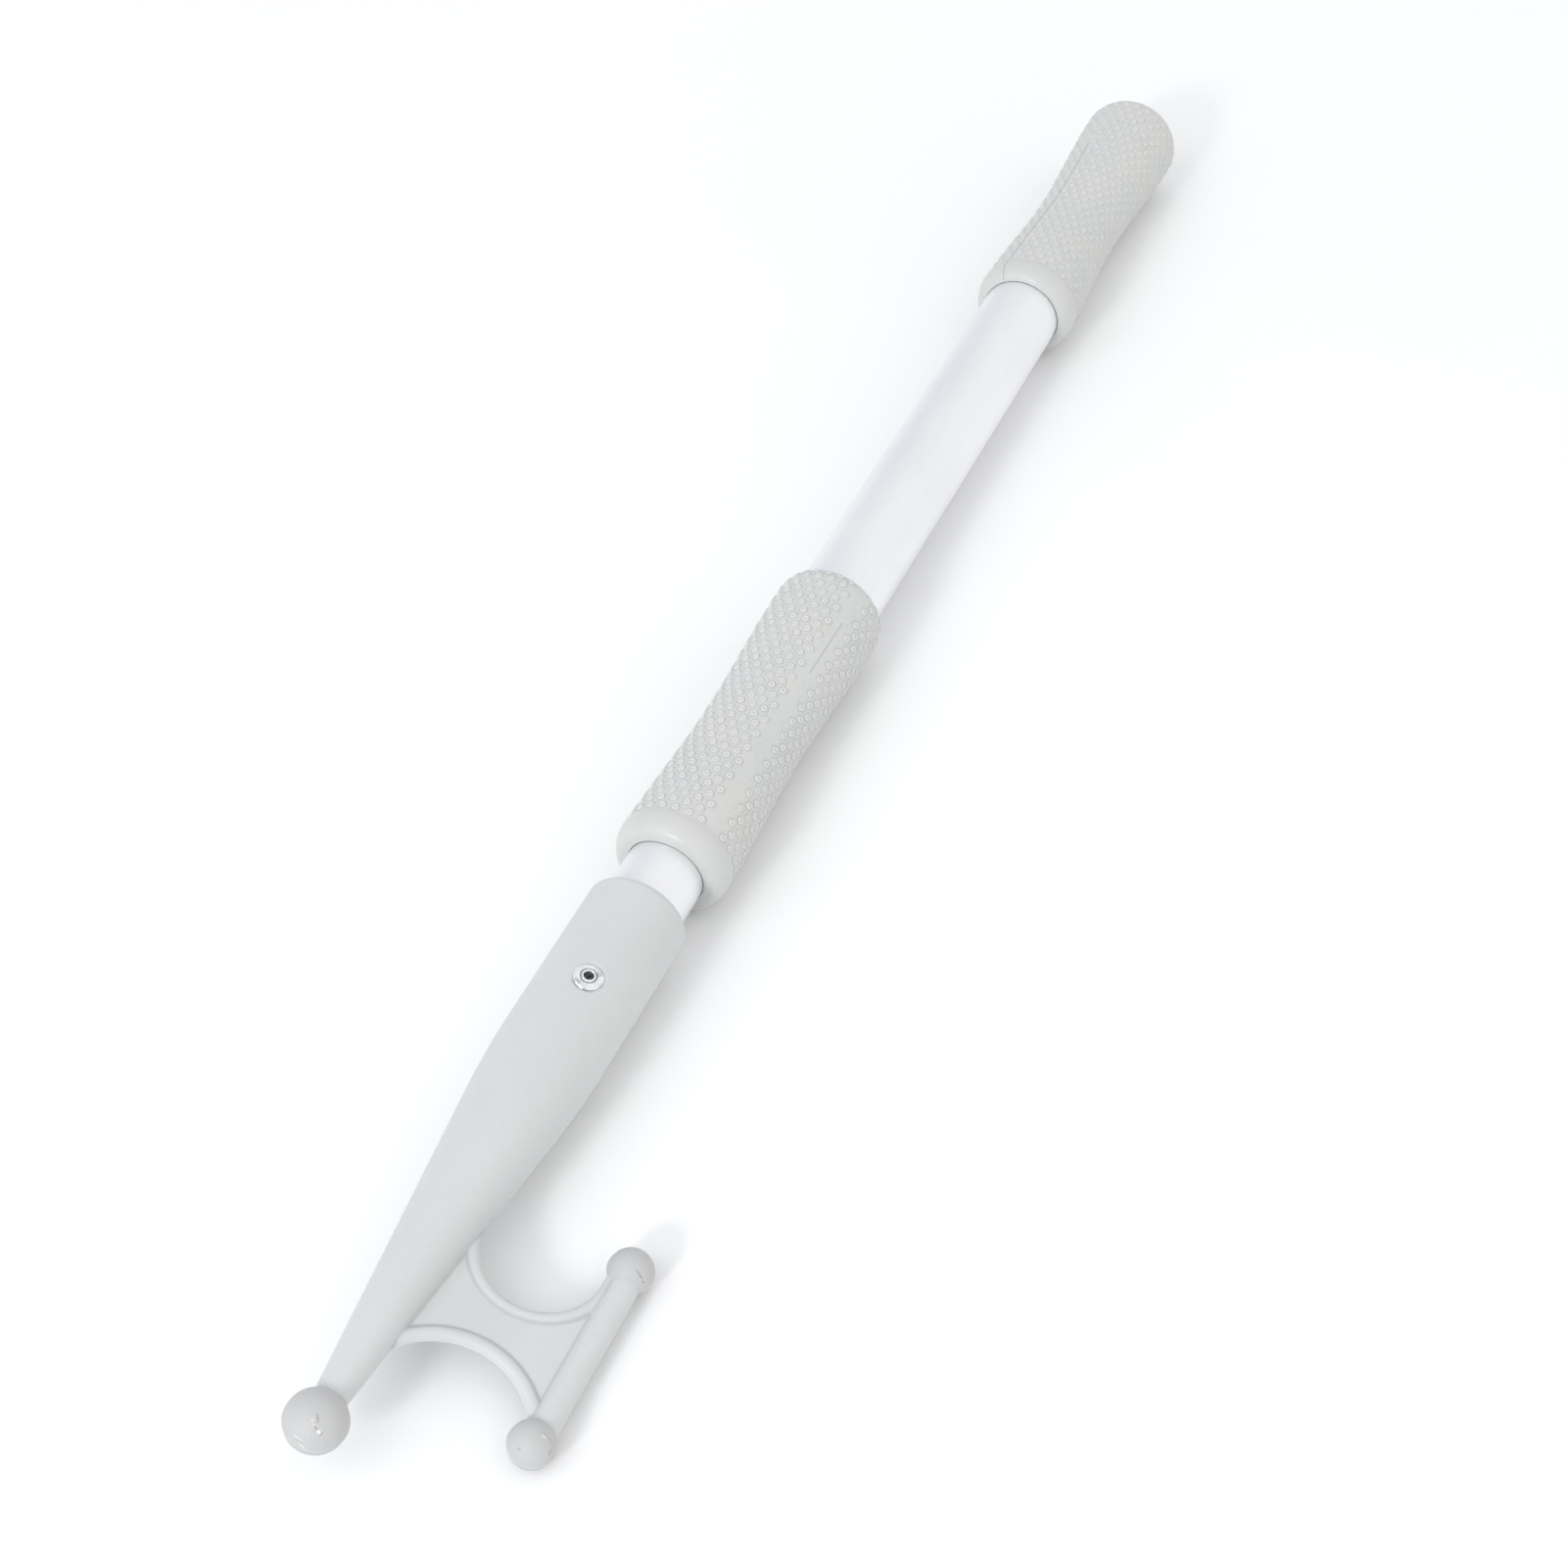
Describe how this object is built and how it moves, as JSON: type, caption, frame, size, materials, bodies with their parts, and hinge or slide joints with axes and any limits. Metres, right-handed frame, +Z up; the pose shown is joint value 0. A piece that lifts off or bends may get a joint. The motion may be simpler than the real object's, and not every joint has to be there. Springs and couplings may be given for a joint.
{
  "type": "telescoping boat hook",
  "caption": "Collapsed telescoping pole with a twist lock, two soft grips and a plastic hook head for catching lines, rings and rails or fending off.",
  "frame": {"origin": "centre of the bounding box's footprint, on the surface that the collapsed pole lies on", "axes": "+X along the pole from the hook to the butt, +Z up, hook pointing to -Y and drooping 13.8 degrees so that its bar rests on the surface"},
  "size_m": [0.5738, 0.0658, 0.033],
  "materials": {
    "head_plastic": "satin",
    "grip_rubber": "matte",
    "tube_aluminium": "satin",
    "rivet_aluminium": "polished",
    "rivet_pin_steel": "satin",
    "zinc_steel": "satin",
    "lock_plastic": "satin",
    "bush_plastic": "satin",
    "foam": "matte"
  },
  "bodies": {
    "handle": {"outer_tube": "tube_aluminium", "guide_bush": "bush_plastic", "rear_bung": "bush_plastic", "lower_grip": "grip_rubber", "end_grip": "grip_rubber"},
    "collar": {"lock_collar": "lock_plastic"},
    "pole": {"inner_tube": "tube_aluminium", "hook_head": "head_plastic", "rivet_bodies": "rivet_aluminium", "rivet_mandrels": "rivet_pin_steel", "float_plug": "foam", "lock_plug": "lock_plastic", "lock_stud": "zinc_steel", "stop_washer": "zinc_steel", "stop_nut": "zinc_steel"},
    "cone": {"lock_cone": "lock_plastic"}
  },
  "joints": [
    {"name": "extend", "type": "slide", "parent": "handle", "child": "collar", "axis": [-1, 0, 0], "range_m": [0, 0.29]},
    {"name": "twist", "type": "hinge", "parent": "collar", "child": "pole", "pos_m": [0.23065, 0.0164, 0.0165], "axis": [1, 0, 0], "range_deg": [0, 360]},
    {"name": "cone_feed", "type": "slide", "parent": "collar", "child": "cone", "axis": [-1, 0, 0], "range_m": [0, 0.00125]}
  ],
  "couplings": [
    {"joint": "cone_feed", "follows": "twist", "m_per_rad": 0.00019894}
  ]
}
